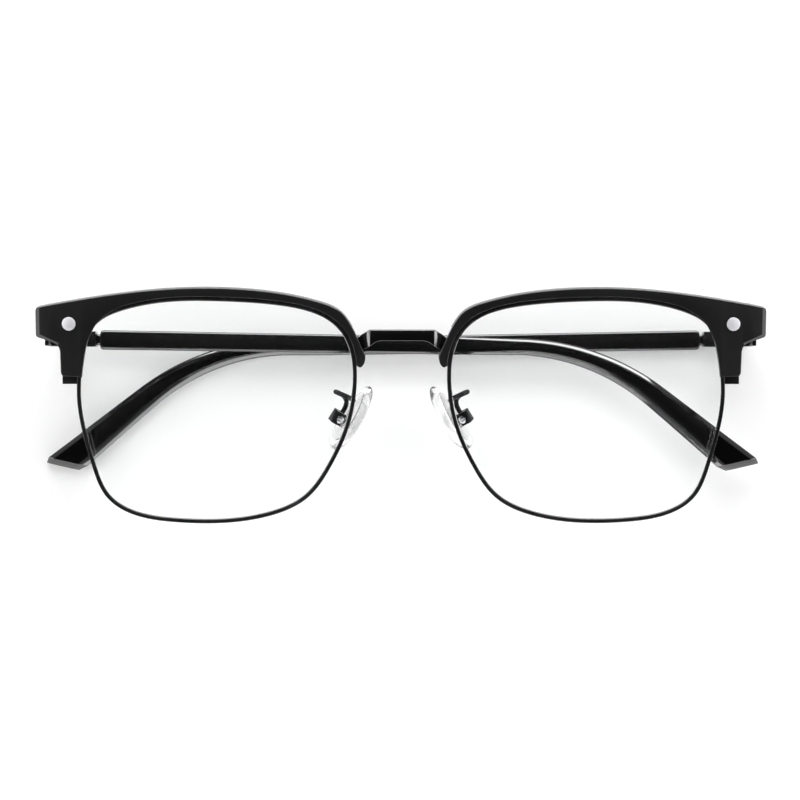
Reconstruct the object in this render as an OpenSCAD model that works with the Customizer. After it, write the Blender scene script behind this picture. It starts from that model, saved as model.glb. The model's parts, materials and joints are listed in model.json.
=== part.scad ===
// Browline eyeglasses lying folded on a table, front upwards, in millimetres.
// +X runs to the wearer's left, +Y to the wearer's up, +Z out of the front.
// The origin is under the middle of the object, on the surface it rests on.

/* [Front] */
// Centre of each lens from the middle of the bridge
lens_offset = 36.5; // [35:0.5:38]
// Tilt of the front towards the cheeks
front_tilt = 9; // [4:1:11]
// Radius of the face curve of the brow bars
wrap_r = 500; // [400:50:700]
// Radius of the lens surface
lens_r = 200; // [180:10:260]
// Thickness of the lenses
lens_t = 1.8; // [1.4:0.1:2.2]
// Width of the rim wire seen from the front
rim_w = 0.8; // [0.7:0.05:0.9]
// Depth of the rim wire
rim_d = 2; // [1.8:0.1:2.2]
// Thickness of the brow bars
brow_t = 3; // [2.6:0.1:3.4]

/* [Temples] */
// Distance of each hinge axis from the middle
hinge_x = 69; // [68.4:0.2:70]
// Depth from the hinge axes to the middle of the front
hinge_depth = 16; // [15.5:0.5:18]
// Length from the hinge axis to the start of the ear bend
bend_start = 92.8; // [88:0.2:98]
// Radius of the ear bend
bend_r = 45; // [40:1:50]
// Angle of the ear bend
bend_angle = 38; // [30:1:42]
// Length of the straight end behind the ear
tail_l = 22.8; // [20:0.2:25]
// Length of the metal bar
bar_l = 70; // [60:1:76]
// Slope of the inner, right temple towards the front when folded
fold_rise = 2.6; // [2.5:0.1:3]

/* [Pads] */
// Length of a nose pad
pad_l = 14.6; // [13:0.2:15]
// Width of a nose pad
pad_w = 7.6; // [7:0.2:8]
// Thickness of a nose pad
pad_t = 2.2; // [1.8:0.1:2.4]

/* [Hidden] */

$fn = 48;
eps = 0.01;

// Placing of the assembly. The left temple lies flat, and the rest leans by rest_tilt over it.
rest_tilt = 1;
hinge_y = 13.4;
axis_h = 2.1;
chassis_z = axis_h + hinge_x * sin(rest_tilt);
chassis_x = -hinge_depth * sin(rest_tilt);

// Curve through the right lens: it runs from the nose side over the top to the temple side.
lens_v = -1;
lens_curve = [[26, -3.5], [27.5, 5], [27, 13.5], [22, 19.5], [12, 21.5], [1, 22], [-10, 22],
    [-20, 19.8], [-25.6, 16.5], [-27, 10.2], [-28, 2.5], [-26.8, -5], [-24.8, -12], [-22.8, -18.5],
    [-16.5, -22], [-8, -22.8], [2, -22.8], [10.8, -21.2], [18, -18], [22.1, -11.5]];
lens_step = 0.2;
// Where the surface of the lenses is level, from the middle
lens_level_u = 20;

// Hinge
knuckle_r = 1.2;
knuckle_h = 3.1;
eye_h = 1.3;
lug_h = 0.8;
pin_r = 0.55;
pin_gap = 0.05;
skin_t = 0.8;
case_start = 1.35;
case_end = 7.4;
case_t = axis_h + knuckle_r;
bar_start = 8.1;

// Ear tip
tip_start = bar_start + bar_l;
bend_end = bend_start + bend_r * bend_angle * PI / 180;
temple_end = bend_end + tail_l;
bar_slope = 1;

// Right nose pad, in the frame of the front
pad_pos = [-10, -4, -9.3];
pad_lean = -32;
pad_splay = 25;
pad_axis = [-2.7, -1.2, 0];

// Points of a smooth closed or open curve that follows the control points p
function blend(p, m, i, t) =
    let (a = p[(i + m - 1) % m], b = p[i % m], c = p[(i + 1) % m], d = p[(i + 2) % m])
    (pow(1 - t, 3) * a + (3 * pow(t, 3) - 6 * t * t + 4) * b
    + (-3 * pow(t, 3) + 3 * t * t + 3 * t + 1) * c + pow(t, 3) * d) / 6;
function open_curve(p, steps) =
    [for (i = [1 : len(p) - 3]) for (j = [0 : steps - (i == len(p) - 3 ? 0 : 1)])
        blend(p, len(p), i, j / steps)];
function unit(v) = v / norm(v);

// Rim centre line. Its place t counts the control points, so one turn is lens_turn.
lens_turn = len(lens_curve);
function rim_at(t) = blend(lens_curve, lens_turn, floor(t), t - floor(t)) + [-lens_offset, lens_v];
function rim_normal(t) = let (d = rim_at(t + 0.1) - rim_at(t - 0.1 + lens_turn)) unit([d[1], -d[0]]);
function rim_offset(t, d) = rim_at(t) + d * rim_normal(t);
// Height of the lens surface over a point of the front
function lens_w(q) =
    sqrt(lens_r * lens_r - pow(abs(q[0]) - lens_level_u, 2) - pow(q[1] - lens_v, 2)) - lens_r;

// Solid through a row of rings with the same number of points
module loft(rings) {
    n = len(rings[0]);
    k = len(rings);
    sides = [for (i = [0 : k - 2]) for (j = [0 : n - 1])
        each [[i * n + j, (i + 1) * n + (j + 1) % n, i * n + (j + 1) % n],
              [i * n + j, (i + 1) * n + j, (i + 1) * n + (j + 1) % n]]];
    caps = [[for (j = [0 : n - 1]) j], [for (j = [n - 1 : -1 : 0]) (k - 1) * n + j]];
    polyhedron(points = [for (r = rings) each r], faces = concat(sides, caps), convexity = 8);
}

// Frames
module chassis() {
    translate([chassis_x, 0, chassis_z]) rotate([0, rest_tilt, 0]) children();
}
module front_of_chassis() {
    translate([0, 0, hinge_depth]) rotate([front_tilt, 0, 0]) children();
}
module front() {
    chassis() front_of_chassis() children();
}
module left_side() {
    mirror([1, 0, 0]) children();
}
module hinge_frame() {
    translate([-hinge_x, hinge_y, 0]) children();
}
module right_temple_frame() {
    chassis() hinge_frame() rotate([0, -fold_rise, 0]) children();
}
module left_temple_frame() {
    chassis() left_side() hinge_frame() rotate([0, rest_tilt, 0]) children();
}
module pad_frame() {
    translate(pad_pos) rotate([0, 0, pad_lean]) rotate([0, pad_splay, 0]) children();
}

// Rim: a grooved wire around the lens, split between the halves of the closing block
rim_split = 9.2;
split_gap = 0.015;
function rim_profile(w, d) =
    [[w, -d + 0.15], [w, d - 0.15], [w - 0.15, d], [0.15 - w, d], [-w, d - 0.15], [-w, 0.45],
     [-0.05, 0], [-w, -0.45], [-w, 0.15 - d], [0.15 - w, -d], [w - 0.15, -d]];
function rim_ring(t) = let (p = rim_at(t), n = rim_normal(t), w = lens_w(p))
    [for (q = rim_profile(rim_w / 2, rim_d / 2)) [p[0] + q[0] * n[0], p[1] + q[0] * n[1], w + q[1]]];
module rim() {
    from = rim_split + split_gap;
    long = lens_turn - 2 * split_gap;
    steps = round(long / lens_step);
    color("#1c1c1e") loft([for (k = [steps : -1 : 0]) rim_ring(from + long * k / steps)]);
}

// Lens: a shell of the lens surface with a thin edge that sits in the groove
module lens_shell(outset, t) {
    outline = [for (t = [0 : lens_step : lens_turn - lens_step]) rim_offset(t, outset)];
    intersection() {
        translate([0, 0, -12]) linear_extrude(height = 20) polygon(outline);
        translate([-lens_level_u, lens_v, -lens_r]) difference() {
            sphere(r = lens_r + t / 2, $fn = 360);
            sphere(r = lens_r - t / 2, $fn = 360);
        }
    }
}
module lens() {
    color("#eef4f5", 0.3) union() {
        lens_shell(-rim_w / 2 - 0.05, lens_t);
        lens_shell(-0.17, 0.22);
    }
}

// Bridge: a flat bar whose ends step back behind the brow bars to reach the rims
module bridge_half_outline() {
    polygon([[-9.1, 10.6], [-9.1, 13], [-8, 13.9], [-6.4, 15], [eps, 15], [eps, 12.9],
        [-4.3, 12.9], [-5.3, 12.6], [-7.3, 11.1]]);
}
module bridge_half_plan() {
    polygon([[-9.1, -1.6], [-9.1, -0.7], [-7.8, -0.7], [-6.3, 0.9], [eps, 0.9], [eps, -0.9],
        [-6, -0.9], [-7, -1.6]]);
}
module bridge_half() {
    intersection() {
        translate([0, 0, -3]) linear_extrude(height = 6) bridge_half_outline();
        translate([0, 18, 0]) rotate([90, 0, 0]) linear_extrude(height = 10) bridge_half_plan();
    }
}
module bridge() {
    color("#17171a") union() {
        bridge_half();
        mirror([1, 0, 0]) bridge_half();
    }
}

// Brow bar: a curved plate over the rim, with a wide lobe and a stem at the temple side
brow_first = 1.4;
brow_last = 9.48;
brow_front = 0.8;
brow_gap = 0.05;
brow_top = [[-80, 17.3], [-70, 19.3], [-60, 21.2], [-50, 22.6], [-41, 23.2], [-32, 23.1],
    [-23, 22.2], [-16, 20.5], [-11.5, 18.9], [-9, 14], [-7, 10]];
function brow_outline() = concat(
    [for (t = [brow_first : lens_step : brow_last]) rim_offset(t, rim_w / 2 + brow_gap)],
    [rim_offset(brow_last, rim_w / 2 + brow_gap)],
    [[-67.4, 5.25], [-67.7, 10.3], [-68.1, 11.2], [-69.2, 11.95], [-70.8, 12.4], [-72.2, 12.8],
     [-72.6, 13.3], [-72.6, 18], [-72, 18.85]],
    [for (q = open_curve(brow_top, 5)) if (q[0] > -69) q],
    [[-7.3, 9.3], [-7.5, 8.2], [-8.1, 7.4]]);
module brow_shell(front, t) {
    rotate([90, 0, 0]) translate([0, front - wrap_r, -40]) difference() {
        cylinder(r = wrap_r, h = 80, $fn = 720);
        translate([0, 0, -1]) cylinder(r = wrap_r - t, h = 82, $fn = 720);
    }
}
module brow() {
    color("#2b2b2d") difference() {
        intersection() {
            translate([0, 0, -14]) linear_extrude(height = 20) polygon(brow_outline());
            brow_shell(brow_front, brow_t);
        }
        // Bevel at the outer end and under the lobe
        translate([-72.6, 10, -5.4]) rotate([0, 40, 0]) translate([-3, 0, -2]) cube([3, 12, 8]);
        translate([-70.8, 12.35, -5]) rotate([-40, 0, -30]) translate([-3, -3, -1]) cube([5.8, 3, 6]);
        // Pocket behind the stem for the closing block, and a step for the bridge end
        translate([-67.05, 0, -12]) cube([4, 11.2, 7.3]);
        translate([-10, 9.8, -4]) cube([6, 5.6, 3.45]);
        lobe_plate_frame() translate([1.6, 0.6, 0]) cylinder(r = 0.62, h = 4, center = true);
        translate([lug_pos[0], lug_pos[1], -3.9]) cylinder(r = small_screw_r + 0.02, h = 3);
        rivet_place() translate([0, 0, -1]) cylinder(r = rivet_pin_r, h = 3);
    }
}

// Screws that hold the brow bar, driven from behind: one in the end piece, one in the lug
lug_turn = 2.75;
lug_pos = rim_offset(lug_turn, 1.3);
lug_dir = atan2(rim_normal(lug_turn)[1], rim_normal(lug_turn)[0]);
small_screw_r = 0.45;
module brow_lug() {
    color("#17171a") translate([lug_pos[0], lug_pos[1], -3.45]) difference() {
        union() {
            cylinder(r = 0.85, h = 0.9);
            rotate([0, 0, lug_dir]) translate([-1.62, -0.7, 0]) cube([1.6, 1.4, 0.9]);
            rotate([0, 0, lug_dir]) translate([-1.62, -0.7, 0]) cube([0.65, 1.4, 1.45]);
        }
        translate([0, 0, -1]) cylinder(r = small_screw_r + 0.05, h = 4);
    }
}
module brow_screw(r, head_r, long) {
    translate([0, 0, -0.3]) cylinder(r = r, h = long + 0.3);
    difference() {
        translate([0, 0, -0.6]) cylinder(r = head_r, h = 0.58);
        translate([-1.5, -0.12, -0.7]) cube([3, 0.24, 0.3]);
    }
}
module brow_screws_of_one_side() {
    lobe_plate_frame() translate([1.6, 0.6, -1.12]) brow_screw(0.6, 1.05, 2.8);
    translate([lug_pos[0], lug_pos[1], -3.47]) brow_screw(small_screw_r, 0.75, 2.4);
}
module brow_screws() {
    color("silver") {
        brow_screws_of_one_side();
        left_side() brow_screws_of_one_side();
    }
}

// Plain round rivet in the lobe
rivet_r = 1.35;
rivet_pin_r = 0.5;
module rivet_place() {
    translate([-65.8, 15.7, brow_front - 4.33]) rotate([0, -7.5, 0]) children();
}
module rivet() {
    color("silver") rivet_place() {
        translate([0, 0, -0.95]) cylinder(r = rivet_pin_r - 0.02, h = 1);
        translate([0, 0, 0.03]) cylinder(r = rivet_r, h = 0.3);
    }
}

// Closing block: two halves soldered to the ends of the rim, drawn together by a screw
block_u = [-66.95, -64.55];
block_w = [-7.4, -4.85];
block_split = [7.25, 7.45];
screw_u = -65.7;
screw_w = -6.3;
module block_half(v) {
    difference() {
        translate([block_u[0], v[0], block_w[0]])
            cube([block_u[1] - block_u[0], v[1] - v[0], block_w[1] - block_w[0]]);
        translate([screw_u, 2, screw_w]) rotate([-90, 0, 0]) cylinder(r = 0.62, h = 8.4);
        translate([screw_u, 2, screw_w]) rotate([-90, 0, 0]) cylinder(r = 0.95, h = 2.35);
    }
}
module closing_block() {
    color("#17171a") {
        block_half([3.85, block_split[0]]);
        block_half([block_split[1], 10.9]);
    }
}
module closing_screw() {
    color("silver") translate([screw_u, 0, screw_w]) rotate([-90, 0, 0]) difference() {
        union() {
            translate([0, 0, 3.95]) cylinder(r = 0.9, h = 0.4);
            translate([0, 0, 4.3]) cylinder(r = 0.6, h = 6);
        }
        translate([-0.12, -1.5, 3.85]) cube([0.24, 3, 0.28]);
    }
}

// End piece: a plate behind the lobe, an arm to the hinge and two knuckles
module lobe_plate_frame() {
    translate([-70, 14.6, brow_front - brow_t - 5]) rotate([0, -8, 0]) children();
}
module end_piece() {
    color("#17171a") difference() {
        union() {
            front_of_chassis() lobe_plate_frame() translate([-1.9, -1.6, -1.1]) cube([5.2, 3.7, 0.95]);
            hinge_frame() end_piece_arm();
        }
        front_of_chassis() lobe_plate_frame() translate([1.6, 0.6, 0])
            cylinder(r = 0.66, h = 6, center = true);
        hinge_frame() rotate([90, 0, 0]) cylinder(r = pin_r + pin_gap, h = 5, center = true);
        hinge_frame() translate([0, knuckle_h / 2 - 0.4, 0]) rotate([-90, 0, 0]) cylinder(r = 0.86, h = 1);
    }
}
module end_piece_arm() {
    translate([-axis_h, -knuckle_h / 2, 0.3 - case_start]) cube([skin_t, knuckle_h, 11.3]);
    translate([-axis_h, -knuckle_h / 2, 2.2]) cube([axis_h + 0.6, knuckle_h, 3]);
    for (k = [0, 1]) mirror([0, k, 0]) {
        translate([0, knuckle_h / 2, 0]) rotate([90, 0, 0]) cylinder(r = knuckle_r, h = lug_h);
        translate([-skin_t - 0.6, eye_h / 2 + 0.1, 0]) cube([skin_t + 0.6 + knuckle_r, lug_h, 2.4]);
        translate([-skin_t - 0.6, eye_h / 2 + 0.1, -0.9]) cube([0.9, lug_h, 1]);
    }
}
module hinge_screw() {
    color("silver") hinge_frame() rotate([-90, 0, 0]) difference() {
        union() {
            translate([0, 0, -knuckle_h / 2]) cylinder(r = pin_r, h = knuckle_h - 0.1);
            translate([0, 0, knuckle_h / 2 - 0.38]) cylinder(r = 0.83, h = 0.34);
        }
        translate([-1, -0.11, knuckle_h / 2 - 0.2]) cube([2, 0.22, 0.3]);
    }
}

// Spring hinge, in the frame of a temple: the slider turns on the hinge screw and pulls
// on the spring inside the case
rod_r = 0.5;
bore_r = 1.1;
head_end = 6.3;
module slider() {
    color("#8a8a8e") difference() {
        union() {
            rotate([90, 0, 0]) cylinder(r = knuckle_r, h = eye_h, center = true);
            rotate([0, 90, 0]) cylinder(r = rod_r, h = head_end - 0.2);
            translate([head_end - 0.6, 0, 0]) rotate([0, 90, 0]) cylinder(r = bore_r - 0.08, h = 0.6);
        }
        rotate([90, 0, 0]) cylinder(r = pin_r + pin_gap, h = 4, center = true);
    }
}
spring_wire = 0.16;
module spring() {
    coils = 3.5;
    from = case_start + 0.85 + spring_wire;
    long = 1.7;
    steps = 42;
    color("#9a9a9e") loft([for (i = [0 : steps]) let (a = 360 * coils * i / steps,
        p = [from + long * i / steps, 0.8 * cos(a), 0.8 * sin(a)])
        [for (b = [0 : 60 : 300]) p + spring_wire * [-sin(b), cos(b) * cos(a), cos(b) * sin(a)]]]);
}
module hinge_case() {
    color("#17171a") difference() {
        translate([case_start, -knuckle_h / 2, -axis_h]) cube([case_end - case_start, knuckle_h, case_t]);
        rotate([0, 90, 0]) cylinder(r = rod_r + 0.06, h = 12);
        translate([case_start + 0.8, 0, 0]) rotate([0, 90, 0]) cylinder(r = bore_r, h = 12);
        // Bevels along the visible edges
        for (k = [0, 1]) mirror([0, k, 0])
            translate([0, knuckle_h / 2 - 0.3, knuckle_r]) rotate([45, 0, 0]) cube([20, 1, 1]);
    }
}

// Temple centre line: straight, a round bend, then straight again.
// It gives [distance along x, drop in y, direction] for a length s from the hinge axis.
function temple_at(s) =
    let (b = s < bend_start ? 0 : min(bend_angle, (s - bend_start) / bend_r * 180 / PI),
         a = bar_slope + b,
         s0 = min(s, bend_start),
         s2 = max(0, s - bend_end))
    [s0 * cos(bar_slope) + bend_r * (sin(a) - sin(bar_slope)) + s2 * cos(a),
     -s0 * sin(bar_slope) - bend_r * (cos(bar_slope) - cos(a)) - s2 * sin(a), -a];

// Ring of a temple: the profile q has [up, out of the inner face], shear slants the ring
function temple_ring(s, profile, shear) =
    [for (q = profile) let (p = temple_at(s + shear * q[0]), a = p[2])
        [p[0] - q[0] * sin(a), p[1] + q[0] * cos(a), q[1] - axis_h]];

// Bar profile of height h and thickness t with bevelled edges
function bevelled(h, t, up, down, back) =
    [[back - h / 2, 0], [h / 2 - back, 0], [h / 2, back], [h / 2, t - up * 0.8],
     [h / 2 - up, t], [down - h / 2, t], [-h / 2, t - down * 0.8], [-h / 2, back]];
bar_t = 2;
function bar_h(s) = 3.95 - 0.3 * (s - bar_start) / bar_l;
module temple_bar() {
    color("#141416") union() {
        loft([for (k = [[0, 0.55], [0.25, 0.2], [0.6, 0], [bar_l - 0.05, 0]])
            let (s = bar_start + k[0])
            temple_ring(s, bevelled(bar_h(s) - 2 * k[1], bar_t, 0.35, 0.5, 0.2), 0)]);
        translate([head_end + 0.35, 0, 0]) rotate([0, 90, 0]) cylinder(r = 1.02, h = 1.3);
        translate([case_end + 0.02, -1.35, -axis_h + 0.15]) cube([1, 2.4, 1.75]);
    }
}

// Core wire inside the ear tip, from the bar to near the end
wire_end = temple_end - 9;
function wire_profile(g) = [for (a = [22.5 : 45 : 360]) [(0.75 + g) * cos(a), 1.25 + (0.45 + g) * sin(a)]];
module core_wire() {
    color("#77777b") loft([for (s = [tip_start - 0.05 : 4 : wire_end]) temple_ring(s, wire_profile(0), 0)]);
}

// Ear tip: height and thickness grow along it, and the end is cut on a slant
function tip_h(s) = s < bend_start ? 3.65 - 0.4 * (s - tip_start) / (bend_start - tip_start)
    : 3.25 + 3.2 * pow((s - bend_start) / (temple_end - bend_start), 1.25);
function tip_t(s) = s < bend_start ? 2.15 + 0.45 * (s - tip_start) / (bend_start - tip_start)
    : 2.6 + 0.9 * (s - bend_start) / (temple_end - bend_start);
function tip_profile(s) = let (k = min(1, 0.35 + 0.65 * (s - tip_start) / 30))
    bevelled(tip_h(s), tip_t(s), 0.95 * k, 1.35 * k, 0.3);
tip_slant = 0.78;
module ear_tip() {
    straight = [for (s = [tip_start : 3.5 : bend_end + 5]) temple_ring(s, tip_profile(s), 0)];
    tail = [for (k = [0.25, 0.5, 0.75, 1]) let (s = bend_end + 5 + k * (tail_l - 6.6))
        temple_ring(s, tip_profile(s), tip_slant * k)];
    low = bevelled(tip_h(temple_end) - 1.1, 1.9, 0.9, 1.2, 0.3);
    color("#0a0a0b") difference() {
        loft(concat(straight, tail, [temple_ring(temple_end, low, tip_slant)]));
        loft([for (s = [tip_start - 1 : 4 : wire_end + 4.2]) temple_ring(s, wire_profile(0.04), 0)]);
    }
}

// Pad arm: a wire from the back of the rim, around a bend, to the pad box
arm_path = [[-9.5, 0.6, -0.1], [-9.6, 0.7, -1.3], [-9.7, 0.8, -2.5], [-11.4, 1.5, -3.2],
    [-13.6, 2.2, -4.4], [-12.6, 1.6, -6.4], [-10.9, 0.5, -6.9], [-11.03, -1.3, -7.35],
    [-11.85, -2.6, -7.3], [-12.67, -3.9, -7.25]];
arm_r = 0.5;
module pad_arm() {
    line = open_curve(arm_path, 3);
    last = len(line) - 1;
    color("#17171a") loft([for (i = [0 : last])
        let (d = unit(line[min(last, i + 1)] - line[max(0, i - 1)]),
             x = unit(cross([0, 1, 0.3], d)), y = cross(d, x))
        [for (a = [0 : 40 : 320]) line[i] + arm_r * (cos(a) * x + sin(a) * y)]]);
}

// Pad box, in the frame of the pad: two cheeks and a web, open towards the pad
box_w = 2.1;
cheek_t = 0.5;
module pad_box() {
    color("#17171a") pad_frame() translate(pad_axis) difference() {
        translate([-1.2, -1.3, -box_w / 2]) cube([2.1, 2.6, box_w]);
        translate([-0.7, -2, -box_w / 2 + cheek_t]) cube([3, 4, box_w - 2 * cheek_t]);
        cylinder(r = 0.46, h = 4, center = true);
    }
}
module pad_screw() {
    color("silver") pad_frame() translate(pad_axis) difference() {
        union() {
            translate([0, 0, -box_w / 2]) cylinder(r = 0.4, h = box_w + 0.05);
            translate([0, 0, box_w / 2 + 0.02]) cylinder(r = 0.75, h = 0.35);
        }
        translate([-1, -0.1, box_w / 2 + 0.2]) cube([2, 0.2, 0.3]);
    }
}
module pad_insert() {
    tab_t = box_w - 2 * cheek_t - 0.24;
    color("#c8c8cc") pad_frame() difference() {
        union() {
            translate([-pad_t / 2 - 0.35, -2.6, -1.3]) cube([0.3, 4.4, 2.6]);
            translate(pad_axis) cylinder(r = 0.62, h = tab_t, center = true);
            translate(pad_axis + [0, -0.55, -tab_t / 2]) cube([-pad_axis[0] - pad_t / 2 - 0.2, 1.1, tab_t]);
        }
        translate(pad_axis) cylinder(r = 0.44, h = 4, center = true);
    }
}

// Nose pad: a soft drop shape, thinner towards its edge
pad_layers = [[-0.5, 0.72], [-0.36, 0.93], [0, 1], [0.3, 0.95], [0.46, 0.8]];
function pad_ring(k) = [for (a = [0 : 12 : 348])
    let (y = -cos(a), z = -sin(a) * (1 - 0.22 * y))
    [k[0] * pad_t, k[1] * y * pad_l / 2, k[1] * z * pad_w / 2]];
module nose_pad() {
    color("#e8edee", 0.5) pad_frame() loft([for (k = pad_layers) pad_ring(k)]);
}

// One line for each sub-part
front() rim();  // rim_right
front() left_side() rim();  // rim_left
front() lens();  // lens_right
front() left_side() lens();  // lens_left
front() bridge();
front() brow();  // brow_right
front() left_side() brow();  // brow_left
front() brow_lug();  // brow_lug_right
front() left_side() brow_lug();  // brow_lug_left
front() brow_screws();
front() rivet();  // rivet_right
front() left_side() rivet();  // rivet_left
front() closing_block();  // closing_block_right
front() left_side() closing_block();  // closing_block_left
front() closing_screw();  // closing_screw_right
front() left_side() closing_screw();  // closing_screw_left
chassis() end_piece();  // end_piece_right
chassis() left_side() end_piece();  // end_piece_left
chassis() hinge_screw();  // hinge_screw_right
chassis() left_side() hinge_screw();  // hinge_screw_left
right_temple_frame() slider();  // slider_right
left_temple_frame() slider();  // slider_left
right_temple_frame() spring();  // spring_right
left_temple_frame() spring();  // spring_left
right_temple_frame() hinge_case();  // hinge_case_right
left_temple_frame() hinge_case();  // hinge_case_left
right_temple_frame() temple_bar();  // temple_bar_right
left_temple_frame() temple_bar();  // temple_bar_left
right_temple_frame() core_wire();  // core_wire_right
left_temple_frame() core_wire();  // core_wire_left
right_temple_frame() ear_tip();  // ear_tip_right
left_temple_frame() ear_tip();  // ear_tip_left
front() pad_arm();  // pad_arm_right
front() left_side() pad_arm();  // pad_arm_left
front() pad_box();  // pad_box_right
front() left_side() pad_box();  // pad_box_left
front() pad_screw();  // pad_screw_right
front() left_side() pad_screw();  // pad_screw_left
front() pad_insert();  // pad_insert_right
front() left_side() pad_insert();  // pad_insert_left
front() nose_pad();  // nose_pad_right
front() left_side() nose_pad();  // nose_pad_left
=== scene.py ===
# %% [markdown]
# # Browline eyeglasses, folded on a table
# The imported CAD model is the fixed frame: it holds the sizes, the places and the joints. Here
# every piece that shows gets its finished form and its material. The glasses lie on their folded
# temples with the front upwards, and the camera looks straight down on them.

# %% Load the frame
import json
import math

import bmesh
import bpy
from mathutils import Matrix, Vector


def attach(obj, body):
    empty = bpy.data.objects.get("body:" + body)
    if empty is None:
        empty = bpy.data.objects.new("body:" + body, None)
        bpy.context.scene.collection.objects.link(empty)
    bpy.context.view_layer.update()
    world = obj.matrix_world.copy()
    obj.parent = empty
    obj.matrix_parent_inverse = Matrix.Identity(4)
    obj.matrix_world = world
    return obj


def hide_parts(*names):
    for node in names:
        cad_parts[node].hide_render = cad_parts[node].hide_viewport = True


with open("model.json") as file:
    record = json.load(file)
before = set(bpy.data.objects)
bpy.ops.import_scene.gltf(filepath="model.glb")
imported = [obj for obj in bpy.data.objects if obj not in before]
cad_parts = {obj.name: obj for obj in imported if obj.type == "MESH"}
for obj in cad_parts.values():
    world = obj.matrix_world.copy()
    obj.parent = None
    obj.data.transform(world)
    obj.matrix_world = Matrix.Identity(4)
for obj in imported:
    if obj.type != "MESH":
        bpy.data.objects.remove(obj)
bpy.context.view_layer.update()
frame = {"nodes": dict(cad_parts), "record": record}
nodes = frame["nodes"]
joints = {j["name"]: j for j in frame["record"]["behaviour"]["joints"]}

# %% [markdown]
# ## Frames of reference
# Glasses are easiest to model flat. The front is drawn lying level around its own middle, and a
# temple runs along +X from its hinge. They could be drawn in place, but a folded temple and a
# tilted front make every point hard to read. One drawing unit is a millimetre, because Blender's
# merge and bevel tools round off too much at the real size in metres. Each finished piece is then
# moved to its real place at its real size. The places come from the hinge pins in the record.

# %% Placements
MM = 0.001
FRONT_TILT = math.radians(9)
HINGE_DEPTH = 16
SIDES = ("right", "left")

pin = {s: Vector(joints[f"temple_{s}_hinge"]["pos_m"]) / MM for s in SIDES}
pull = {s: Vector(joints[f"temple_{s}_flex"]["axis"]) for s in SIDES}
span = pin["left"] - pin["right"]
lean = math.atan2(-span.z, span.x)
middle = (pin["left"] + pin["right"]) / 2


def turn(degrees, axis):
    return Matrix.Rotation(math.radians(degrees), 4, axis)


mirror = Matrix.Diagonal((-1, 1, 1, 1))
chassis = Matrix.Translation((middle.x, 0, middle.z)) @ Matrix.Rotation(lean, 4, "Y")
front = {}
front["right"] = (
    chassis @ Matrix.Translation((0, 0, HINGE_DEPTH)) @ Matrix.Rotation(FRONT_TILT, 4, "X")
)
front["left"] = front["right"] @ mirror
temple = {}
temple["right"] = Matrix.Translation(pin["right"]) @ Matrix.Rotation(
    -math.atan2(pull["right"].z, pull["right"].x), 4, "Y"
)
temple["left"] = (
    Matrix.Translation(pin["left"])
    @ Matrix.Rotation(math.atan2(pull["left"].z, -pull["left"].x), 4, "Y")
    @ mirror
)
to_metres = Matrix.Scale(MM, 4)
print("hinge pins", round(span.length, 2), "mm apart")
print("lean", round(math.degrees(lean), 2), "degrees")

# %% [markdown]
# ## Camera, floor and light
# The view is straight down from about half a metre, with a long lens, on a white table that glows
# a little, as a lit table in a studio does. A stronger lamp could make the white too, but it
# would wash the shadows out. A large soft light stands on the forehead side, so shadows fall
# towards the wearer's chin. The space straight above stays dim, which keeps the flat black faces
# black. Four low strips of light stand around the table, because black things show by their
# edges: the bevels turn to the strips and draw thin light lines.

# %% Camera
FRONT_HEIGHT = middle.z + HINGE_DEPTH
CAMERA_RISE = 523
CAMERA_PLACE = (-0.38, 0.99)
CAMERA_LENS = 119.087
camera_data = bpy.data.cameras.new("camera")
camera_data.sensor_width = 36
camera_data.lens = CAMERA_LENS
camera = bpy.data.objects.new("camera", camera_data)
bpy.context.collection.objects.link(camera)
camera.location = Vector((*CAMERA_PLACE, FRONT_HEIGHT + CAMERA_RISE)) * MM
bpy.context.scene.camera = camera
print("camera", CAMERA_RISE, "mm above the front, lens", CAMERA_LENS, "mm")


# %% Floor and lights
def area_light(name, place, size, power):
    """A rectangular lamp that looks at the middle of the table."""
    data = bpy.data.lights.new(name, "AREA")
    data.shape = "RECTANGLE"
    data.size, data.size_y = size
    data.energy = power
    light = bpy.data.objects.new(name, data)
    bpy.context.collection.objects.link(light)
    light.location = place
    light.rotation_euler = (-Vector(place)).to_track_quat("-Z", "Y").to_euler()


FLOOR_SIZE = 6
FLOOR_DROP = 0.02
bpy.ops.object.select_all(action="DESELECT")
bpy.ops.mesh.primitive_plane_add(size=FLOOR_SIZE, location=(0, 0, -FLOOR_DROP * MM))
floor = bpy.context.active_object
floor.name = "floor"
table = bpy.data.materials.new("white_table")
table.use_nodes = True
table_shader = table.node_tree.nodes["Principled BSDF"]
table_shader.inputs["Base Color"].default_value = (0.82, 0.82, 0.82, 1)
table_shader.inputs["Roughness"].default_value = 0.8
table_shader.inputs["Emission Color"].default_value = (1, 1, 1, 1)
table_shader.inputs["Emission Strength"].default_value = 0.27
floor.data.materials.append(table)

area_light("top_light", (0.0, 0.75, 0.72), (1.0, 0.6), 6)
area_light("left_light", (-0.9, 0.1, 0.55), (0.5, 0.8), 2)
area_light("right_light", (0.9, 0.1, 0.55), (0.5, 0.8), 2)
area_light("front_light", (0.0, -0.9, 0.5), (0.9, 0.4), 1.6)
area_light("top_strip", (0.0, 1.2, 0.26), (1.8, 0.24), 15)
area_light("left_strip", (-1.2, 0.0, 0.26), (1.6, 0.24), 7)
area_light("right_strip", (1.2, 0.0, 0.26), (1.6, 0.24), 7)
area_light("front_strip", (0.0, -1.2, 0.26), (1.8, 0.24), 5)
world = bpy.data.worlds.new("world")
bpy.context.scene.world = world
world.use_nodes = True
sky = world.node_tree
direction = sky.nodes.new("ShaderNodeTexCoord")
height = sky.nodes.new("ShaderNodeSeparateXYZ")
dimming = sky.nodes.new("ShaderNodeValToRGB")
dimming.color_ramp.elements[-1].position = 0.85
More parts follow.
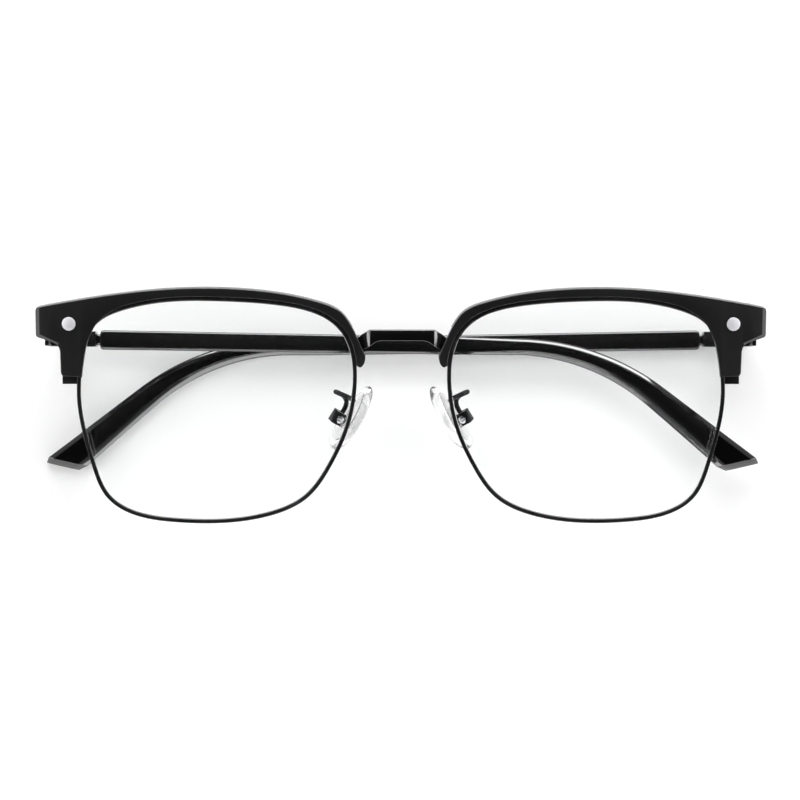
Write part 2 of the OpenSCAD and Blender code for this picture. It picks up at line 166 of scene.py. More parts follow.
for stop in (0.4, 0.62):
    dimming.color_ramp.elements.new(stop)
for stop, level in zip(dimming.color_ramp.elements, (0.5, 0.35, 0.08, 0.015)):
    stop.color = (level, level, level, 1)
sky.links.new(direction.outputs["Generated"], height.inputs[0])
sky.links.new(height.outputs["Z"], dimming.inputs["Fac"])
sky.links.new(dimming.outputs["Color"], sky.nodes["Background"].inputs["Color"])
sky.nodes["Background"].inputs["Strength"].default_value = 1
bpy.context.scene.view_settings.view_transform = "Standard"

# %% [markdown]
# ## Shader groups
# Several finishes share the same small effects. Fine grain is a close noise that breaks up the
# shine of sprayed and blasted surfaces. Handling is a soft, wide pattern of slightly duller and
# shinier patches, from fingers. Edge wear finds the convex edges and lightens them a little. Each
# material could build its own, but one group with named inputs keeps them alike and easy to tune.

# %% Group builder
def new_group(name, ins, outs):
    tree = bpy.data.node_groups.new(name, "ShaderNodeTree")
    for label, value in ins:
        socket = tree.interface.new_socket(label, in_out="INPUT", socket_type="NodeSocketFloat")
        socket.default_value = value
    for label, kind in outs:
        tree.interface.new_socket(label, in_out="OUTPUT", socket_type=kind)
    return tree, tree.nodes.new("NodeGroupInput"), tree.nodes.new("NodeGroupOutput")


def surface_group():
    """Fine grain, handling patches and edge wear of a made surface, each from 0 to 1."""
    tree, ins, outs = new_group(
        "made_surface",
        [("Grain Size mm", 0.1), ("Patch Size mm", 12), ("Edge Start", 0.52), ("Edge End", 0.6)],
        [("Grain", "NodeSocketFloat"), ("Patches", "NodeSocketFloat"), ("Edges", "NodeSocketFloat")],
    )
    add = tree.nodes.new
    link = tree.links.new
    place = add("ShaderNodeTexCoord")
    for size, result, detail in (("Grain Size mm", "Grain", 3), ("Patch Size mm", "Patches", 5)):
        per_metre = add("ShaderNodeMath")
        per_metre.operation = "DIVIDE"
        per_metre.inputs[0].default_value = 1 / MM
        link(ins.outputs[size], per_metre.inputs[1])
        noise = add("ShaderNodeTexNoise")
        noise.inputs["Detail"].default_value = detail
        noise.inputs["Roughness"].default_value = 0.55
        link(place.outputs["Object"], noise.inputs["Vector"])
        link(per_metre.outputs[0], noise.inputs["Scale"])
        link(noise.outputs["Fac"], outs.inputs[result])
        if result == "Patches":
            patches = noise
    shape = add("ShaderNodeNewGeometry")
    edge = add("ShaderNodeMapRange")
    link(shape.outputs["Pointiness"], edge.inputs["Value"])
    link(ins.outputs["Edge Start"], edge.inputs["From Min"])
    link(ins.outputs["Edge End"], edge.inputs["From Max"])
    broken = add("ShaderNodeMath")
    broken.operation = "MULTIPLY"
    link(edge.outputs["Result"], broken.inputs[0])
    link(patches.outputs["Fac"], broken.inputs[1])
    link(broken.outputs[0], outs.inputs["Edges"])
    return tree


made_surface = surface_group()
print("group", made_surface.name, len(made_surface.nodes), "nodes")

# %% [markdown]
# ## One recipe for the opaque finishes
# Matte brow, satin rims, semi-gloss bars and polished tips differ only in numbers: how dark, how
# rough, how grainy and how far the edges have rubbed. So one function makes them all from the
# group above: patches and edges move the colour, patches and grain move the roughness, and the
# grain is also a very low bump.

# %% Opaque finish
SHADE_SPREAD = 0.18
GRAIN_SHARE = 0.35


def finish(name, colour, edge_colour, roughness, spread=0.06, grain=0.1, bump=0.004, **plain):
    material = bpy.data.materials.new(name)
    material.use_nodes = True
    tree = material.node_tree
    add = tree.nodes.new
    link = tree.links.new
    shader = tree.nodes["Principled BSDF"]
    surface = add("ShaderNodeGroup")
    surface.node_tree = made_surface
    surface.inputs["Grain Size mm"].default_value = grain
    tone = add("ShaderNodeValToRGB")
    tone.color_ramp.elements[0].position = 0.3
    tone.color_ramp.elements[1].position = 0.7
    tone.color_ramp.elements[0].color = (*[c * (1 - SHADE_SPREAD) for c in colour], 1)
    tone.color_ramp.elements[1].color = (*[c * (1 + SHADE_SPREAD) for c in colour], 1)
    worn = add("ShaderNodeMix")
    worn.data_type = "RGBA"
    worn.inputs[7].default_value = (*edge_colour, 1)
    link(surface.outputs["Patches"], tone.inputs["Fac"])
    link(surface.outputs["Edges"], worn.inputs[0])
    link(tone.outputs["Color"], worn.inputs[6])
    link(worn.outputs[2], shader.inputs["Base Color"])
    both = add("ShaderNodeMath")
    both.operation = "MULTIPLY_ADD"
    both.inputs[1].default_value = GRAIN_SHARE
    link(surface.outputs["Grain"], both.inputs[0])
    link(surface.outputs["Patches"], both.inputs[2])
    rough = add("ShaderNodeMapRange")
    rough.inputs["From Min"].default_value = 0.35
    rough.inputs["From Max"].default_value = 1.0
    rough.inputs["To Min"].default_value = max(0.02, roughness - spread)
    rough.inputs["To Max"].default_value = roughness + spread
    link(both.outputs[0], rough.inputs["Value"])
    link(rough.outputs["Result"], shader.inputs["Roughness"])
    relief = add("ShaderNodeBump")
    relief.inputs["Strength"].default_value = 1.0
    relief.inputs["Distance"].default_value = bump * MM
    link(surface.outputs["Grain"], relief.inputs["Height"])
    link(relief.outputs["Normal"], shader.inputs["Normal"])
    for socket, value in plain.items():
        shader.inputs[socket.replace("_", " ")].default_value = value
    return material


def grey(level):
    """A grey with a trace of blue, as black lacquer has."""
    return (level, level, level * 1.03)


brow_matte = finish(
    "brow_matte_charcoal", grey(0.0065), grey(0.05), 0.5, 0.07, 0.12, 0.008,
    Specular_IOR_Level=0.2, Coat_Weight=0.6, Coat_Roughness=0.18,
)
rim_satin = finish(
    "rim_satin_black", grey(0.004), grey(0.03), 0.28, 0.06, 0.08, 0.003,
    Specular_IOR_Level=0.6, Coat_Weight=0.3, Coat_Roughness=0.15,
)
bar_black = finish(
    "bar_semigloss_black", grey(0.0022), grey(0.02), 0.2, 0.04, 0.15, 0.002,
    Specular_IOR_Level=0.6, Coat_Weight=0.7, Coat_Roughness=0.1,
)
fitting_black = finish(
    "fitting_gloss_black", grey(0.002), grey(0.015), 0.12, 0.03, 0.1, 0.001,
    Specular_IOR_Level=0.25,
)
tip_black = finish(
    "tip_polished_black", grey(0.0018), grey(0.004), 0.08, 0.02, 0.4, 0.0008,
    Specular_IOR_Level=0.7, Coat_Weight=0.7, Coat_Roughness=0.04,
)
steel = finish("hinge_steel", grey(0.42), grey(0.6), 0.32, 0.08, 0.1, 0.003, Metallic=1.0)
silver = finish("bright_silver", grey(0.75), grey(0.85), 0.2, 0.05, 0.06, 0.002, Metallic=1.0)
brushed = finish("brushed_silver", grey(0.9), grey(0.95), 0.62, 0.08, 0.05, 0.01, Metallic=1.0)
for material in (brow_matte, rim_satin, bar_black, fitting_black, tip_black, steel, silver, brushed):
    print("opaque finish", material.name)

# %% [markdown]
# ## Clear finishes
# Lenses and pads are clear, and light must pass to the table below. A path tracer would shade the
# table under glass too much, so lamp rays meet a plain Transparent shader instead. The lens keeps
# a faint cool tint. The silicone of the pads is softer: a little rough, with a low swirl in its
# surface from the mould.

# %% Clear finish
def clear_finish(name, tint, roughness, ior, ripple_mm, ripple, passed=0.98):
    material = bpy.data.materials.new(name)
    material.use_nodes = True
    tree = material.node_tree
    add = tree.nodes.new
    link = tree.links.new
    shader = tree.nodes["Principled BSDF"]
    shader.inputs["Transmission Weight"].default_value = 1
    shader.inputs["IOR"].default_value = ior
    place = add("ShaderNodeTexCoord")
    noise = add("ShaderNodeTexNoise")
    noise.inputs["Scale"].default_value = 1 / (ripple_mm * MM)
    noise.inputs["Detail"].default_value = 2
    link(place.outputs["Object"], noise.inputs["Vector"])
    tone = add("ShaderNodeValToRGB")
    tone.color_ramp.elements[0].color = (*[c * 0.985 for c in tint], 1)
    tone.color_ramp.elements[1].color = (*tint, 1)
    link(noise.outputs["Fac"], tone.inputs["Fac"])
    link(tone.outputs["Color"], shader.inputs["Base Color"])
    rough = add("ShaderNodeMapRange")
    rough.inputs["To Min"].default_value = roughness * 0.7
    rough.inputs["To Max"].default_value = roughness * 1.3
    link(noise.outputs["Fac"], rough.inputs["Value"])
    link(rough.outputs["Result"], shader.inputs["Roughness"])
    relief = add("ShaderNodeBump")
    relief.inputs["Distance"].default_value = ripple * MM
    link(noise.outputs["Fac"], relief.inputs["Height"])
    link(relief.outputs["Normal"], shader.inputs["Normal"])
    lamp_ray = add("ShaderNodeLightPath")
    through = add("ShaderNodeBsdfTransparent")
    through.inputs["Color"].default_value = (*[c * passed for c in tint], 1)
    either = add("ShaderNodeMixShader")
    link(lamp_ray.outputs["Is Shadow Ray"], either.inputs["Fac"])
    link(shader.outputs["BSDF"], either.inputs[1])
    link(through.outputs["BSDF"], either.inputs[2])
    link(either.outputs["Shader"], tree.nodes["Material Output"].inputs["Surface"])
    return material


lens_clear = clear_finish("lens_clear", (0.985, 0.995, 0.992), 0.01, 1.5, 30, 0.0002)
pad_clear = clear_finish("pad_silicone", (0.985, 0.985, 0.985), 0.14, 1.36, 2.5, 0.02, 0.88)
pad_plate = clear_finish("pad_plate", (0.93, 0.93, 0.93), 0.25, 1.49, 1.5, 0.02, 0.9)
print("clear finishes", lens_clear.name, pad_clear.name, pad_plate.name)

# %% [markdown]
# ## Working by hand, step by step
# A few helpers carry all the modelling. The loft starts from a flat ring and pulls it out one
# extrude at a time, like drawing a wire through a die. Softening rounds every sharp edge with a
# small bevel, because no real edge is perfectly sharp and the highlights live on those bevels.
# The last helpers move a drawn piece to its place, give it its material and hand it to the body
# of the CAD node it stands for.

# %% Bodies
record = frame["record"]
body_of_node = {n: b for b, group in record["behaviour"]["bodies"].items() for n in group}


# %% Selecting and moving

def choose(piece):
    bpy.ops.object.select_all(action="DESELECT")
    piece.select_set(True)
    bpy.context.view_layer.objects.active = piece
    return piece


def in_edit_mode(piece, *steps):
    choose(piece)
    bpy.ops.object.mode_set(mode="EDIT")
    bpy.ops.mesh.select_all(action="SELECT")
    for step in steps:
        step()
    bpy.ops.object.mode_set(mode="OBJECT")


def rounded(place):
    return tuple(round(c, 4) for c in place)


def set_ring(piece, places):
    """Moves the selected ring of vertices, each from its old place to its new one."""
    mesh = bmesh.from_edit_mesh(piece.data)
    moved = {}
    for vertex in mesh.verts:
        if vertex.select:
            moved[vertex] = places[rounded(vertex.co)]
    for vertex, new in moved.items():
        vertex.co = new
    bmesh.update_edit_mesh(piece.data)


# %% Modelling helpers
def loft(name, rings):
    """Closed solid through rings of points, extruded ring by ring from a flat first one."""
    count = len(rings[0])
    bpy.ops.object.select_all(action="DESELECT")
    bpy.ops.mesh.primitive_circle_add(vertices=count, radius=1, fill_type="NGON")
    piece = bpy.context.active_object
    piece.name = name
    last = [rounded(v.co) for v in piece.data.vertices]
    bpy.ops.object.mode_set(mode="EDIT")
    bpy.ops.mesh.select_all(action="SELECT")
    for number, ring in enumerate(rings):
        if number:
            bpy.ops.mesh.extrude_region_move()
        set_ring(piece, dict(zip(last, ring)))
        last = [rounded(Vector(p)) for p in ring]
    bpy.ops.mesh.select_all(action="SELECT")
    bpy.ops.mesh.normals_make_consistent(inside=False)
    bpy.ops.object.mode_set(mode="OBJECT")
    return piece


def apply(piece, kind, **settings):
    choose(piece)
    modifier = piece.modifiers.new(kind.lower(), kind)
    for setting, value in settings.items():
        setattr(modifier, setting, value)
    bpy.ops.object.modifier_apply(modifier=modifier.name)
    return piece


def soften(piece, width, segments=2, angle=30):
    """Rounds the sharp edges and smooths the shading between them."""
    apply(
        piece, "BEVEL", width=width, segments=segments, limit_method="ANGLE",
        angle_limit=math.radians(angle), miter_outer="MITER_ARC",
    )
    bpy.ops.object.shade_smooth_by_angle(angle=math.radians(angle))
    return piece


def cut(piece, size, matrix):
    """Takes a box away from a piece."""
    bpy.ops.object.select_all(action="DESELECT")
    bpy.ops.mesh.primitive_cube_add(size=1)
    cutter = bpy.context.active_object
    cutter.data.transform(matrix @ Matrix.Diagonal((*size, 1)))
    apply(piece, "BOOLEAN", operation="DIFFERENCE", solver="EXACT", object=cutter)
    bpy.data.objects.remove(cutter)
    return piece


# %% Handing over
def hand_over(piece, node, material):
    """Names a finished piece and puts it in the place of its CAD node."""
    piece.name = node + "_piece"
    piece.data.materials.clear()
    piece.data.materials.append(material)
    in_edit_mode(piece, bpy.ops.mesh.normals_make_consistent)
    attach(piece, body_of_node[node])
    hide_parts(node)
    return piece


def pair(kind, drawn, places, material):
    """Two finished pieces from one drawn piece, the left one mirrored."""
    for side in SIDES:
        piece = drawn.copy()
        piece.data = drawn.data.copy()
        bpy.context.collection.objects.link(piece)
        piece.data.transform(to_metres @ places[side])
        hand_over(piece, f"{kind}_{side}", material)
    print(kind, len(drawn.data.polygons), "faces a side")
    bpy.data.objects.remove(drawn)


def softened_copy(node, width, material, segments=2):
    """A CAD node again, with merged flats and rounded edges."""
    piece = nodes[node].copy()
    piece.data = nodes[node].data.copy()
    bpy.context.collection.objects.link(piece)
    piece.parent = None
    piece.matrix_world = Matrix()
    piece.data.transform(Matrix.Scale(1 / MM, 4))
    in_edit_mode(
        piece,
        lambda: bpy.ops.mesh.remove_doubles(threshold=0.002),
        lambda: bpy.ops.mesh.dissolve_limited(angle_limit=math.radians(1)),
    )
    soften(piece, width, segments)
    piece.data.transform(to_metres)
    return hand_over(piece, node, material)


# %% [markdown]
# ## Rims
# The rim is a flat wire, taller than it is wide, with a V groove inside for the lens. It follows
# a smooth curve shaped by twenty points around the lens and lies on the surface of a
# large sphere, because the lens is part of one. It starts and ends at the closing block, where a
# hair gap parts it. A curve object with a bevel could carry the same section, but it twists on
# such a path, so the section is placed ring by ring and always stands square to the wire.

# %% Rim wire
LENS_CENTRE = Vector((-36.5, -1))
LENS_POINTS = [
    (26, -3.5), (27.5, 5), (27, 13.5), (22, 19.5), (12, 21.5), (1, 22), (-10, 22), (-20, 19.8),
    (-25.6, 16.5), (-27, 10.2), (-28, 2.5), (-26.8, -5), (-24.8, -12), (-22.8, -18.5),
    (-16.5, -22), (-8, -22.8), (2, -22.8), (10.8, -21.2), (18, -18), (22.1, -11.5),
]
LENS_RADIUS = 200
LENS_LEVEL_X = -20
RIM_SPLIT = 9.2
SPLIT_GAP = 0.015
RIM_STEPS = 170
RIM_PROFILE = [
    (0.4, -0.8), (0.4, 0.8), (0.36, 0.93), (0.24, 1), (-0.24, 1), (-0.36, 0.93),
    (-0.4, 0.8), (-0.4, 0.45), (-0.05, 0), (-0.4, -0.45), (-0.4, -0.8),
    (-0.36, -0.93), (-0.24, -1), (0.24, -1), (0.36, -0.93),
]


def spline(points, at):
    """Point on a smooth curve that follows control points, counted in control points."""
    i = math.floor(at)
    t = at - i
    a, b, c, d = (Vector(points[(i + k) % len(points)]) for k in (-1, 0, 1, 2))
    return (
        (1 - t) ** 3 * a + (3 * t**3 - 6 * t * t + 4) * b
        + (-3 * t**3 + 3 * t * t + 3 * t + 1) * c + t**3 * d
    ) / 6


def rim_offset(at, distance):
    """Point beside the rim curve, a distance outwards from its middle line."""
    along = spline(LENS_POINTS, at + 0.05) - spline(LENS_POINTS, at - 0.05)
    outward = Vector((along.y, -along.x)).normalized()
    return spline(LENS_POINTS, at) + LENS_CENTRE + distance * outward


def lens_height(x, y):
    """Height of the large sphere that lens and rim lie on."""
    dx, dy = x - LENS_LEVEL_X, y - LENS_CENTRE.y
    return math.sqrt(LENS_RADIUS**2 - dx * dx - dy * dy) - LENS_RADIUS


def steps(first, last, count):
    """Evenly spaced numbers, both ends included."""
    return [first + (last - first) * k / count for k in range(count + 1)]


rings = []
for at in steps(RIM_SPLIT + SPLIT_GAP, RIM_SPLIT + len(LENS_POINTS) - SPLIT_GAP, RIM_STEPS):
    height = lens_height(*rim_offset(at, 0))
    rings.append([(*rim_offset(at, across), height + up) for across, up in RIM_PROFILE])
rim = loft("rim", rings)
choose(rim)
bpy.ops.object.shade_smooth_by_angle(angle=math.radians(35))
pair("rim", rim, front, rim_satin)

# %% [markdown]
# ## Lenses
# A lens is a curved disc with parallel faces and a V edge that sits in the groove of the rim. It
# could be cut out of two spheres with booleans, which leaves long thin faces that spoil the
# shine. Here rings run from the middle of the back, out to the edge, over the V and back to the
# middle of the front, so the faces are even and the curve is smooth.

# %% Lens
LENS_THICKNESS = 1.8
EDGE_INSET = -0.45
TIP_INSET = -0.17
V_HALF = 0.4
ends = steps(0, len(LENS_POINTS), 140)[:-1]
flat_steps = (0.03, 0.12, 0.25, 0.4, 0.55, 0.7, 0.85, 0.96)


def lens_ring(inset, share, rise):
    ring = []
    for at in ends:
        p = LENS_CENTRE + share * (rim_offset(at, inset) - LENS_CENTRE)
        ring.append((p.x, p.y, lens_height(p.x, p.y) + rise))
    return ring


half = LENS_THICKNESS / 2
back = [lens_ring(EDGE_INSET, share, -half) for share in flat_steps]
edge = [
    lens_ring(inset, 1, rise)
    for inset, rise in (
        (EDGE_INSET, -half), (EDGE_INSET, -V_HALF), (TIP_INSET, 0),
        (EDGE_INSET, V_HALF), (EDGE_INSET, half),
    )
]
face = [lens_ring(EDGE_INSET, share, half) for share in reversed(flat_steps)]
lens = loft("lens", back + edge + face)
choose(lens)
bpy.ops.object.shade_smooth_by_angle(angle=math.radians(20))
pair("lens", lens, front, lens_clear)

# %% [markdown]
# ## Brow bars
# The brow bar is a plate of matte plastic. Its lower edge follows the rim, its upper edge is one
# long arch, and at the temple side it widens into a lobe with a stem below. It starts as a flat
# outline, is pulled out to its thickness, gets small rounded edges, and is then laid over the
# face curve. A real one is milled from sheet and bent in the same order, and the flat stage is
# where its outline is easiest to draw. Two long bevels finish the outer end and the bottom of the
# lobe, each cut with one turned box.

# %% Brow bar
WRAP_RADIUS = 500
BROW_FRONT = 0.8
BROW_THICKNESS = 3
RIM_EDGE = 0.4
RIM_CLEARANCE = 0.02
LIP_START, LIP_FULL = 6.9, 8.1
LIP_REACH = 1.02
BROW_TOP = [
    (-80, 17.3), (-70, 19.3), (-60, 21.2), (-50, 22.6), (-41, 23.2), (-32, 23.1), (-23, 22.2),
    (-16, 20.5), (-11.5, 18.9), (-9, 14), (-7, 10),
]
STEM_AND_LOBE = [
    (-63.95, 5.1), (-66.95, 5.15), (-67.4, 5.28), (-67.62, 5.9), (-67.7, 10.1), (-67.85, 10.75),
    (-68.2, 11.3), (-69.2, 11.9), (-70.8, 12.35), (-72.1, 12.7), (-72.5, 12.95), (-72.6, 13.4),
    (-72.6, 18), (-72.45, 18.55), (-72.05, 18.82),
]
NOSE_END = [(-7.22, 9.8), (-7.25, 9.1), (-7.42, 8.4), (-7.75, 7.85), (-8.2, 7.5)]
BROW_RIM_START, BROW_RIM_END = 1.45, 9.55
LOBE_START_X = -71


def brow_inset(at):
    """The lower edge follows the outside of the rim, then creeps over it down the stem."""
    over = min(1, max(0, (at - LIP_START) / (LIP_FULL - LIP_START)))
    return RIM_EDGE + RIM_CLEARANCE - LIP_REACH * over


outline = [rim_offset(at, brow_inset(at)) for at in steps(BROW_RIM_START, BROW_RIM_END, 58)]
outline += STEM_AND_LOBE
for at in steps(1, len(BROW_TOP) - 2, 72)[:-1]:
    point = spline(BROW_TOP, at)
    if point.x > LOBE_START_X:
        outline.append(point)
outline += NOSE_END
bpy.ops.object.select_all(action="DESELECT")
bpy.ops.mesh.primitive_circle_add(vertices=len(outline), radius=1, fill_type="NGON")
brow = bpy.context.active_object
for vertex, point in zip(brow.data.vertices, outline):
    vertex.co = (point[0], point[1], 0)
in_edit_mode(
    brow,
    lambda: bpy.ops.mesh.extrude_region_move(
        TRANSFORM_OT_translate={"value": (0, 0, -BROW_THICKNESS)}
    ),
    lambda: bpy.ops.mesh.select_all(action="SELECT"),
    bpy.ops.mesh.normals_make_consistent,
)
apply(brow, "BEVEL", width=0.2, segments=3, limit_method="ANGLE", angle_limit=math.radians(50))


def slice_across(x):
    """A line of vertices across the whole bar, so that it can bend there."""
    bpy.ops.mesh.select_all(action="SELECT")
    bpy.ops.mesh.bisect(plane_co=(x, 0, 0), plane_no=(1, 0, 0))


in_edit_mode(brow, *[lambda x=x: slice_across(x) for x in range(LOBE_START_X, -7, 2)])
for vertex in brow.data.vertices:
    drop = WRAP_RADIUS - math.sqrt(WRAP_RADIUS**2 - vertex.co.x**2)
    lean_out = -vertex.co.x / WRAP_RADIUS * vertex.co.z
    vertex.co = (vertex.co.x, vertex.co.y, BROW_FRONT - drop + vertex.co.z - lean_out * 0.1)

# %% Bevels of the lobe
END_BEVEL = (
    Matrix.Translation((-72.6, 16, -5.4)) @ turn(40, "Y") @ Matrix.Translation((-1.5, 0, 2))
)
LOWER_BEVEL = (
    Matrix.Translation((-70.8, 12.35, -5)) @ turn(-30, "Z") @ turn(-40, "X")
    @ Matrix.Translation((-0.1, -1.5, 2))
)
cut(brow, (3, 14, 8), END_BEVEL)
cut(brow, (5.8, 3, 6), LOWER_BEVEL)
print("brow with bevels", len(brow.data.polygons), "faces")

# %% [markdown]
# Behind the stem the bar reaches over the rim, so its back needs a channel for the wire. One deep
# pocket takes the closing block and another the foot of the bridge.

# %% Channel and pockets
channel = []
for at in steps(6.4, 9.9, 40):
    height = lens_height(*rim_offset(at, 0))
    channel.append([
        (*rim_offset(at, across), height + up)
        for across, up in ((0.42, -4), (0.42, 1.03), (-1.5, 1.03), (-1.5, -4))
    ])
channel = loft("channel", channel)
apply(brow, "BOOLEAN", operation="DIFFERENCE", solver="EXACT", object=channel)
bpy.data.objects.remove(channel)
BLOCK_POCKET = Matrix.Translation((-65.05, 5.6, -8.35))
BRIDGE_POCKET = Matrix.Translation((-7, 12.6, -2.275))
cut(brow, (4, 11.2, 7.3), BLOCK_POCKET)
cut(brow, (6, 5.6, 3.45), BRIDGE_POCKET)
choose(brow)
bpy.ops.object.shade_smooth_by_angle(angle=math.radians(28))
pair("brow", brow, front, brow_matte)

# %% [markdown]
# ## Bridge and metal fittings
# The bridge, the end pieces behind the lobes, the closing blocks, the brow screws and the hinge
# parts are small machined metal. They could be modelled anew, but their shapes are plain and the
# frame already has them exactly, so they are taken again from it and get the rounded edges of
# tumbled, lacquered metal. The closing block is then widened to fill the stem above it, and its
# foot is drawn down a little.

# %% Bridge and fittings
softened_copy("bridge", 0.2, bar_black, 3)
for kind, width, material in (
    ("brow_lug", 0.1, rim_satin),
    ("rivet", 0.08, brushed),
    ("closing_block", 0.12, rim_satin),
    ("closing_screw", 0.05, silver),
    ("end_piece", 0.12, rim_satin),
    ("hinge_screw", 0.05, silver),
    ("slider", 0.08, steel),
    ("hinge_case", 0.1, bar_black),
    ("pad_box", 0.07, fitting_black),
    ("pad_screw", 0.05, silver),
):
    for side in SIDES:
        softened_copy(f"{kind}_{side}", width, material)
softened_copy("brow_screws", 0.05, silver)

# %% Foot of the closing block
BLOCK_STRETCH = 1.3
BLOCK_LEFT, BLOCK_DOWN = 0.45, 0.4
FOOT_TOP = 4.5
for side in SIDES:
    block = bpy.data.objects[f"closing_block_{side}_piece"]
    drawn = to_metres @ front[side]
    block.data.transform(drawn.inverted())
    left_edge = min(v.co.x for v in block.data.vertices)
    for vertex in block.data.vertices:
        vertex.co.x = left_edge - BLOCK_LEFT + BLOCK_STRETCH * (vertex.co.x - left_edge)
        if vertex.co.y < FOOT_TOP:
            vertex.co.y -= BLOCK_DOWN
    block.data.transform(drawn)
    print(block.name, "widened", BLOCK_STRETCH, "times")

# %% [markdown]
# The springs and the core wires are hidden in the cases and the ear tips. They could be wound and
# drawn anew, but nothing would show, so they stay as they are in the frame and only become steel.

# %% Hidden steel
for side in SIDES:
    for kind in ("spring", "core_wire"):
        nodes[f"{kind}_{side}"].data.materials.clear()
        nodes[f"{kind}_{side}"].data.materials.append(steel)
print("hidden steel pieces", 2 * len(SIDES))

# %% [markdown]
# ## Temples
# A temple is a flat metal bar, then a plastic ear tip over a core wire. Its centre line is
# straight, turns down behind the ear in one round bend and ends straight. A straight bar could be
# bent with a modifier, but then its length would change, so rings stand square to the centre line
# at measured lengths. Bar and tip have long bevels along the inner face, a narrow one above and a
# wider one below. The start of the bar is rounded down to a neck that enters the hinge case, and
# the end of the tip is cut on a slant.

# %% Temple line and profiles
AXIS_HEIGHT = 2.1
BAR_START, BAR_LENGTH = 8.1, 70
TIP_START = BAR_START + BAR_LENGTH
BEND_START, BEND_RADIUS, BEND_ANGLE, TAIL = 92.8, 45, 38, 22.8
BEND_END = BEND_START + BEND_RADIUS * math.radians(BEND_ANGLE)
TEMPLE_END = BEND_END + TAIL
SLOPE = math.radians(1)
TIP_SLANT = 0.78


def temple_at(s):
    """Place and direction of the centre line at length s from the hinge."""
    bend = min(max(0, s - BEND_START), BEND_END - BEND_START) / BEND_RADIUS
    straight, tail, angle = min(s, BEND_START), max(0, s - BEND_END), SLOPE + bend
    x = straight * math.cos(SLOPE) + BEND_RADIUS * (math.sin(angle) - math.sin(SLOPE))
    y = straight * math.sin(SLOPE) + BEND_RADIUS * (math.cos(SLOPE) - math.cos(angle))
    return x + tail * math.cos(angle), -y - tail * math.sin(angle), -angle


def temple_ring(s, profile, slant=0):
    ring = []
    for up, out in profile:
        x, y, angle = temple_at(s + slant * up)
        ring.append((x - up * math.sin(angle), y + up * math.cos(angle), out - AXIS_HEIGHT))
    return ring


def bevelled(height, depth, up, down, back):
    """Section of a bar: long bevels on the inner face, small ones on the outer face."""
    top = height / 2
    return [
        (back - top, 0), (top - back, 0), (top, back), (top, depth - up * 0.8),
        (top - up, depth), (down - top, depth), (-top, depth - down * 0.8), (-top, back),
    ]


# %% Metal bar
BAR_THICKNESS = 2
BAR_HEIGHT, BAR_TAPER = 3.95, 0.3
rings = []
for along, less, thin in (
    (-0.75, 0.85, 0.25), (-0.02, 0.85, 0.25), (0, 0.62, 0.12), (0.12, 0.3, 0.04), (0.38, 0.08, 0),
    (0.75, 0, 0), (24, 0, 0), (48, 0, 0), (BAR_LENGTH - 0.12, 0, 0), (BAR_LENGTH - 0.03, 0.08, 0.05),
):
    s = BAR_START + along
    height = BAR_HEIGHT - BAR_TAPER * max(0, along) / BAR_LENGTH - 2 * less
    section = bevelled(height, BAR_THICKNESS - thin, 0.35, 0.5, 0.2)
    rings.append(temple_ring(s, [(up, max(out, thin)) for up, out in section]))
bar = soften(loft("bar", rings), 0.05, 2, 20)
pair("temple_bar", bar, temple, bar_black)

# %% Ear tip
TIP_WAIST, TIP_FLARE = 3.25, 3.2
END_TAPER = 1.1


def tip_section(s):
    """Narrows as far as the bend, then widens towards the end."""
    before = (s - TIP_START) / (BEND_START - TIP_START)
    after = (s - BEND_START) / (TEMPLE_END - BEND_START)
    height = 3.65 - 0.4 * before if s < BEND_START else TIP_WAIST + TIP_FLARE * after**1.25
    depth = 2.15 + 0.45 * before if s < BEND_START else 2.6 + 0.9 * after
    grow = min(1, 0.35 + 0.65 * (s - TIP_START) / 30)
    return bevelled(height, depth, 0.95 * grow, 1.35 * grow, 0.3)


mouth = [(up * 0.96, max(0.06, out * 0.97)) for up, out in tip_section(TIP_START)]
rings = [temple_ring(TIP_START, mouth)]
rings += [temple_ring(s, tip_section(s)) for s in steps(TIP_START + 0.12, BEND_END + 5, 40)]
for share in (0.25, 0.5, 0.75, 1):
    s = BEND_END + 5 + share * (TAIL - 6.6)
    rings.append(temple_ring(s, tip_section(s), TIP_SLANT * share))
end_height = TIP_WAIST + TIP_FLARE - END_TAPER
rings.append(temple_ring(TEMPLE_END, bevelled(end_height, 1.9, 0.9, 1.2, 0.3), TIP_SLANT))
tip = soften(loft("tip", rings), 0.14, 3, 22)
pair("ear_tip", tip, temple, tip_black)

# %% [markdown]
# ## Nose pads
# A thin wire leaves the back of the rim, bends round towards the nose and ends on the pad box.
# The box holds the tab of the pad on a small screw. The pad is a soft drop of clear silicone with
# a shallow dish on the skin side and a stiffer clear plate moulded into its back. A flattened
# sphere would be quicker, but it has no dish and no narrow end, so the drop is built up in rings.

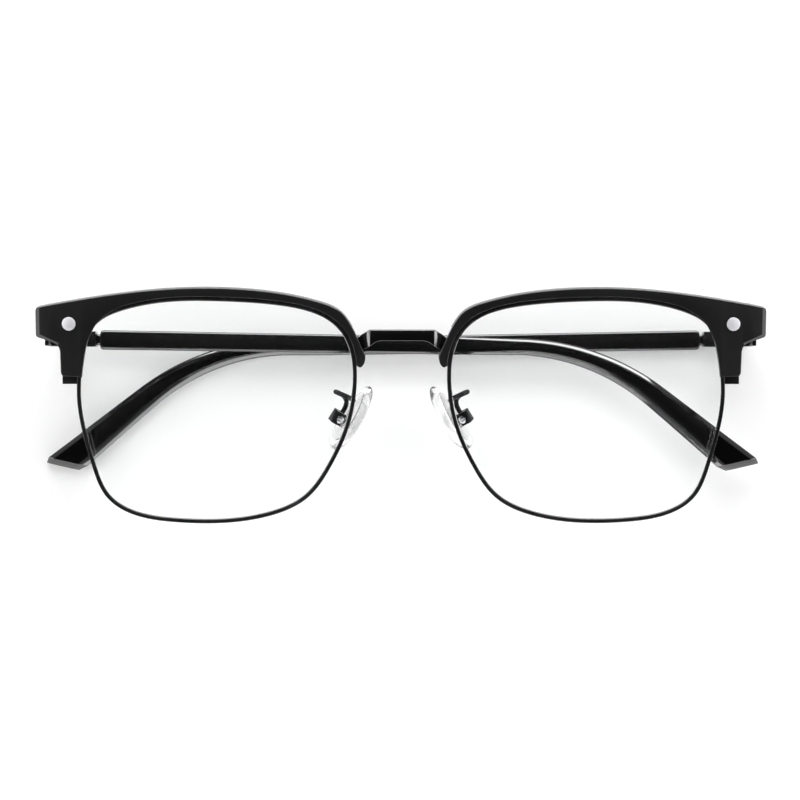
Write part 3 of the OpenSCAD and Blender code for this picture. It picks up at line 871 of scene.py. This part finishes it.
# %% Pad arm
ARM_POINTS = [
    (-9.5, 0.6, -0.1), (-9.6, 0.7, -1.3), (-9.7, 0.8, -2.5), (-11.4, 1.5, -3.2),
    (-13.6, 2.2, -4.4), (-12.6, 1.6, -6.4), (-10.9, 0.5, -6.9), (-11.03, -1.3, -7.35),
    (-11.85, -2.6, -7.3), (-12.67, -3.9, -7.25),
]
ARM_RADIUS = 0.5
ARM_END = len(ARM_POINTS) - 2
rings = []
for at in steps(1, ARM_END, 42):
    ahead = spline(ARM_POINTS, min(at + 0.03, ARM_END - 0.001))
    along = (ahead - spline(ARM_POINTS, at - 0.03)).normalized()
    side_way = Vector((0, 1, 0.3)).cross(along).normalized()
    up_way = along.cross(side_way)
    centre = spline(ARM_POINTS, min(at, ARM_END - 0.0001))
    rings.append([
        tuple(centre + ARM_RADIUS * (math.cos(a) * side_way + math.sin(a) * up_way))
        for a in steps(0, math.tau, 14)[:-1]
    ])
arm = loft("arm", rings)
choose(arm)
bpy.ops.object.shade_smooth_by_angle(angle=math.radians(50))
pair("pad_arm", arm, front, fitting_black)

# %% Pad
PAD_LENGTH, PAD_WIDTH, PAD_THICKNESS = 14.6, 7.6, 2.2
pad_place = Matrix.Translation((-10, -4, -9.3)) @ turn(-32, "Z") @ turn(25, "Y")
pad_places = {side: front[side] @ pad_place for side in SIDES}


def drop_ring(out, share, length=PAD_LENGTH, width=PAD_WIDTH):
    """A drop-shaped ring, narrower at one end, raised by a share of the pad's thickness."""
    ring = []
    for a in steps(0, math.tau, 64)[:-1]:
        y = -math.cos(a)
        z = -math.sin(a) * (1 - 0.22 * y)
        ring.append((out * PAD_THICKNESS, share * y * length / 2, share * z * width / 2))
    return ring


pad = loft("pad", [
    drop_ring(out, share) for out, share in (
        (-0.5, 0.06), (-0.5, 0.3), (-0.5, 0.66), (-0.48, 0.76), (-0.42, 0.86), (-0.3, 0.95),
        (-0.12, 0.995), (0.02, 1), (0.16, 0.985), (0.3, 0.945), (0.4, 0.87), (0.45, 0.78),
        (0.45, 0.68), (0.41, 0.5), (0.38, 0.3), (0.37, 0.06),
    )
])
choose(pad)
bpy.ops.object.shade_smooth()
pair("nose_pad", pad, pad_places, pad_clear)

# %% Plate in the pad
PLATE_LENGTH, PLATE_WIDTH = 11, 5
for side in SIDES:
    plate = loft("plate", [
        drop_ring(out, share, PLATE_LENGTH, PLATE_WIDTH)
        for out, share in ((-0.36, 0.9), (-0.36, 1), (-0.2, 1), (-0.2, 0.9))
    ])
    plate.data.transform(to_metres @ pad_places[side])
    insert = softened_copy(f"pad_insert_{side}", 0.07, pad_plate)
    choose(insert)
    plate.select_set(True)
    bpy.ops.object.join()
    insert.data.materials.clear()
    insert.data.materials.append(pad_plate)
    print(insert.name, len(insert.data.polygons), "faces")
